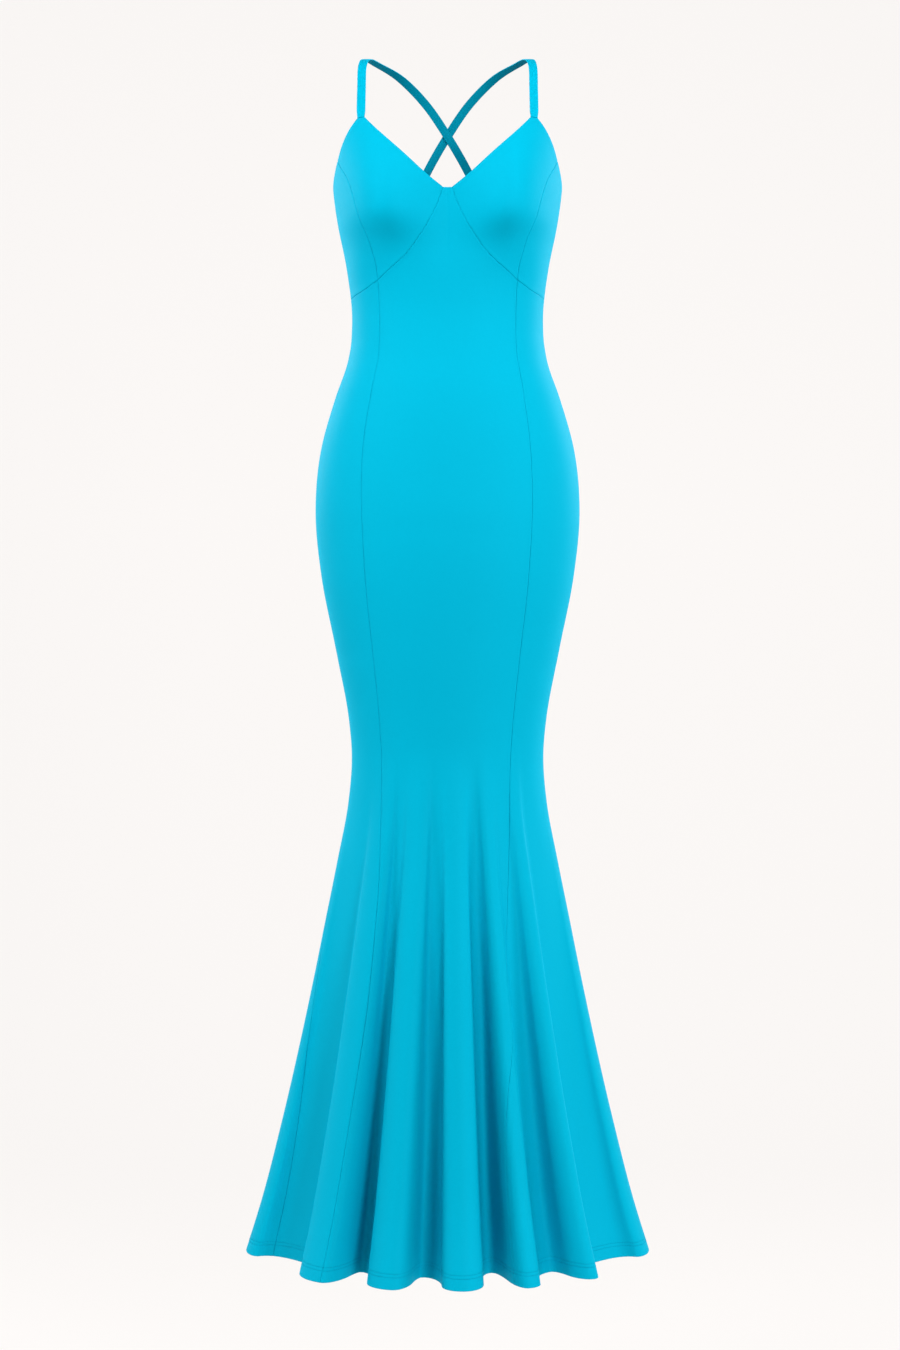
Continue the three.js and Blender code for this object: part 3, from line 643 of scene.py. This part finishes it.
def strap_band(name, lift, mirror):
    """A strap, lifted at the crossing, on the right side or mirrored to the left."""
    seat_bearing = -(NECK_EDGE["bearing"][-1] + ARMHOLE["bearing"][0]) / 2
    start = strap_end(seat_bearing, lambda bearing: ARMHOLE["drop"][0], STRAP_WIDTH)
    end = strap_end(STRAP_BACK_BEARING, back_edge_drop, STRAP_WIDTH / np.cos(STRAP_SLANT))
    route = np.vstack([start[0], STRAP_ROUTE, end[0]])
    run = np.concatenate([[0], np.cumsum(np.linalg.norm(np.diff(route, axis=0), axis=1) ** 0.5)])
    tried = np.linspace(0, run[-1], PLACES_TRIED)
    fine = np.stack([curve_through(run, route[:, k], tried) for k in range(3)], -1)
    length = reach_from(fine, 0)
    places = spaced(length[-1], EDGE_STEPS, EDGE_STEPS, STRAP_ROWS)
    middle = np.stack([np.interp(places, length, fine[:, k]) for k in range(3)], -1)
    tangent = unit(np.gradient(middle, places, axis=0))
    level = unit(np.stack([0 * places, -tangent[:, 2], tangent[:, 1]], -1))
    across = np.cross(tangent, level)
    near = np.maximum(0, 1 - np.abs(middle[:, 2] - CROSSING_Z) / CROSSING_REACH)
    half = np.full(len(middle), STRAP_WIDTH / 2)
    for (_, along_edge), from_end, last in ((start, places, 0), (end, length[-1] - places, -1)):
        turn = (1 - smooth_step(from_end, 0, END_TWIST))[:, None]
        wanted = along_edge * np.sign(np.sum(along_edge * across[last]))
        half = half + (np.linalg.norm(wanted) - STRAP_WIDTH / 2) * turn[:, 0]
        across = unit(across * (1 - turn) + unit(wanted) * turn)
    facing = unit(np.cross(across, tangent))
    lifted = np.where(middle[:, 1] > 0, lift * smooth_step(near, 0, 1), 0)
    middle = middle + facing * lifted[:, None]
    turns = np.radians(np.arange(STRAP_SIDES) * 360 / STRAP_SIDES)
    width_way = np.sign(np.cos(turns)) * np.abs(np.cos(turns)) ** STRAP_SQUARENESS
    thick_way = np.sign(np.sin(turns)) * np.abs(np.sin(turns)) ** STRAP_SQUARENESS
    pressed = PRESSED_IN * np.exp(-((np.abs(width_way) - PRESSED_AT) / PRESSED_WIDTH) ** 2)
    thick_way = thick_way * (1 - pressed)
    end_roll = roll_off(np.minimum(places, length[-1] - places), END_ROLL, END_SINK)
    rings = []
    for wall in (0, STRAP_WALL):
        wide = (half - wall)[:, None, None] * width_way[None, :, None]
        thick = (STRAP_THICKNESS / 2 - wall - end_roll)[:, None, None] * thick_way[None, :, None]
        rings.append(middle[:, None] + across[:, None] * wide + facing[:, None] * thick)
    ring = np.stack(rings) * ((-1, 1, 1) if mirror else (1, 1, 1))
    rows = ring.shape[1]
    outside, inside = np.arange(2 * rows * STRAP_SIDES).reshape(2, rows, STRAP_SIDES)
    faces = []
    for near, far in ((outside[:-1], outside[1:]), (inside[1:], inside[:-1]), (outside[-1:], inside[-1:]),
                      (inside[:1], outside[:1])):
        after, after_far = np.roll(near, -1, axis=1), np.roll(far, -1, axis=1)
        faces.append(np.stack([near, far, after_far, after], -1).reshape(-1, 4))
    faces = np.concatenate(faces)
    faces = faces if mirror else faces[:, ::-1]
    round_reach = np.linspace(0, 2 * STRAP_WIDTH, STRAP_SIDES, endpoint=False)
    flat = np.stack(np.broadcast_arrays(round_reach, places[:, None]), -1)
    band = add_piece(name, ring, faces, strap_crepes, np.stack([flat, flat]))
    # Painted shade: the faces on the wearer's side of each strap get the darker copy of the crepe.
    painted_shade_faces = np.arange(len(faces)) % STRAP_SIDES >= STRAP_SIDES // 2
    band.data.polygons.foreach_set("material_index", painted_shade_faces.astype(np.int32))
    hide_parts(name.replace("crepe_", ""))
    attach(band, "root")
    return band


strap_band("crepe_strap_right", 0, False)
strap_band("crepe_strap_left", CROSSING_LIFT, True)


# The hem stitching: two parallel rows made with a twin needle, 14 and 18 mm above the hem's fold.
# Each stitch is a short raised length of thread that dips into the cloth at both ends.
STITCH_LENGTH, STITCH_PITCH = 2.7, 3.2
THREAD, THREAD_SIDES, THREAD_SEAT = 0.17, 5, 0.05
THREAD_COLOUR = (0.0, 0.24, 0.37)
# Along one stitch: the part of its length, how high it rises, and how thick it is.
STITCH_FORM = {
    "part": np.array([0, 0.18, 0.5, 0.82, 1]),
    "rise": np.array([-0.22, 0.06, 0.12, 0.06, -0.22]),
    "thick": np.array([0.6, 1, 1, 1, 0.6]),
}
SLOPE_OVER = 10
thread_material = crepe_material("thread", THREAD_COLOUR, grain_depth=0.1, unevenness=0.03, sheen=0.1)


def stitch_row(line):
    """The points and faces of one row of stitches round the hem."""
    bearing = np.linspace(0, 360, 30001)
    above = cloth_point(bearing, HEM_DROP - SLOPE_OVER)
    slope = np.linalg.norm(cloth_point(bearing, HEM_DROP) - above, axis=-1) / SLOPE_OVER
    drop = HEM_DROP - line / slope
    run = reach_from(cloth_point(bearing, drop), 0)
    count = int(run[-1] / STITCH_PITCH)
    starts = np.arange(count) * run[-1] / count
    places = starts[:, None] + STITCH_FORM["part"] * STITCH_LENGTH
    at = np.interp(places, run, bearing)
    level = np.interp(places, run, drop)
    point, normal = cloth_point(at, level), cloth_normal(at, level)
    point = point - normal * crease_at(at, level)[..., None]
    up = unit(np.cross(normal, unit(np.gradient(point, axis=1))))
    point, normal, up = point[:, :, None], normal[:, :, None], up[:, :, None]
    turns = np.radians(np.arange(THREAD_SIDES) * 360 / THREAD_SIDES + 18)
    thread = THREAD * STITCH_FORM["thick"][None, :, None]
    ring = point + normal * (STITCH_FORM["rise"] - THREAD_SEAT)[None, :, None, None]
    ring = ring + up * (thread * np.cos(turns))[..., None] + normal * (thread * np.sin(turns))[..., None]
    rings = len(STITCH_FORM["part"])
    index = np.arange(rings * THREAD_SIDES).reshape(rings, THREAD_SIDES)
    after = np.roll(index, -1, axis=1)
    faces = np.stack([index[:-1], index[1:], after[1:], after[:-1]], -1).reshape(-1, 4)
    faces = faces + (np.arange(count) * index.size)[:, None, None]
    return ring.reshape(-1, 3), faces.reshape(-1, 4)


(first_points, first_faces), (next_points, next_faces) = (stitch_row(line) for line in HEM_LINES)
stitching = add_piece(
    "hem_stitching",
    np.vstack([first_points, next_points]),
    np.vstack([first_faces, next_faces + len(first_points)]),
    [thread_material],
)
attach(stitching, "root")


# The studio: a sweep of pale paper that runs down behind the gown and on under it. It is clear
# from behind, so that the back of the gown can be seen too. Broad soft lamps stand in front, above,
# at both sides and behind.
SWEEP_FRONT, SWEEP_FLOOR, SWEEP_BACK, SWEEP_TOP = -0.6, -1.75, 3.2, 3.5
SWEEP_ROUND, SWEEP_HALF_WIDTH = 1.4, 4.0
PAPER, PAPER_GLOW, GLOW_STRENGTH = (0.1, 0.0965, 0.095, 1), (1, 0.973, 0.955, 1), 0.868
AIR, AIR_STRENGTH = (1, 0.99, 0.98, 1), 0.09

sweep_profile = [(SWEEP_FRONT, SWEEP_FLOOR)]
for turn in np.radians(np.arange(0, 91, 5)):
    sweep_profile.append((SWEEP_BACK - SWEEP_ROUND + SWEEP_ROUND * np.sin(turn),
                          SWEEP_FLOOR + SWEEP_ROUND - SWEEP_ROUND * np.cos(turn)))
sweep_profile.append((SWEEP_BACK, SWEEP_TOP))
sweep_points = [(x, y, z) for y, z in sweep_profile for x in (-SWEEP_HALF_WIDTH, SWEEP_HALF_WIDTH)]
sweep_faces = [(2 * i, 2 * i + 1, 2 * i + 3, 2 * i + 2) for i in range(len(sweep_profile) - 1)]
mesh = bpy.data.meshes.new("sweep")
mesh.from_pydata(sweep_points, [], sweep_faces)
mesh.polygons.foreach_set("use_smooth", [True] * len(sweep_faces))

paper = bpy.data.materials.new("pale_paper")
paper.use_nodes = True
nodes, links = paper.node_tree.nodes, paper.node_tree.links
shader = nodes["Principled BSDF"]
shader.inputs["Base Color"].default_value = PAPER
shader.inputs["Roughness"].default_value = 1
shader.inputs["Specular IOR Level"].default_value = 0
shader.inputs["Emission Color"].default_value = PAPER_GLOW
shader.inputs["Emission Strength"].default_value = GLOW_STRENGTH
side, clear, by_side = (add_node(nodes, kind) for kind in ("NewGeometry", "BsdfTransparent", "MixShader"))
links.new(side.outputs["Backfacing"], by_side.inputs["Fac"])
links.new(shader.outputs["BSDF"], by_side.inputs[1])
links.new(clear.outputs["BSDF"], by_side.inputs[2])
links.new(by_side.outputs["Shader"], nodes["Material Output"].inputs["Surface"])
mesh.materials.append(paper)
sweep = bpy.data.objects.new("sweep", mesh)
bpy.context.collection.objects.link(sweep)

# Each lamp: its place and what it points at in metres, its size, its power in watts, and how wide
# it spreads in degrees.
for name, place, aim, size, power, spread in (
    ("upper_left", (-2.0, -1.6, 1.1), (0, 0, -0.3), (1.0, 1.0), 45, 180),
    ("upper_right", (2.0, -1.6, 1.1), (0, 0, -0.3), (1.0, 1.0), 17, 180),
    ("front_right", (1.4, -3.2, -0.4), (0, 0, -0.9), (0.8, 0.8), 84, 180),
    ("front_left", (-1.4, -3.2, -0.4), (0, 0, -0.9), (0.8, 0.8), 10, 180),
    ("above", (0, -1.0, 0.75), (0, 0, -0.2), (1.3, 0.4), 11, 180),
    ("far_left", (-3.2, -0.3, -0.3), (0, 0, -0.8), (1.0, 1.6), 50, 180),
    ("far_right", (3.2, -0.3, -0.3), (0, 0, -0.8), (1.0, 1.6), 48, 180),
    ("behind_left", (-2.2, 2.0, 0.5), (0, 0, -0.4), (1.2, 1.6), 11, 65),
    ("behind_right", (2.2, 2.0, 0.5), (0, 0, -0.4), (1.2, 1.6), 11, 65),
):
    light = bpy.data.lights.new(name, "AREA")
    light.shape = "RECTANGLE"
    light.size, light.size_y = size
    light.energy = power
    light.spread = np.radians(spread)
    lamp = bpy.data.objects.new(name, light)
    lamp.location = place
    lamp.rotation_euler = (Vector(aim) - Vector(place)).to_track_quat("-Z", "Y").to_euler()
    bpy.context.collection.objects.link(lamp)

world = bpy.data.worlds.new("studio_air")
world.use_nodes = True
air = world.node_tree.nodes["Background"]
air.inputs["Color"].default_value = AIR
air.inputs["Strength"].default_value = AIR_STRENGTH
bpy.context.scene.world = world
bpy.context.scene.view_settings.view_transform = "Standard"
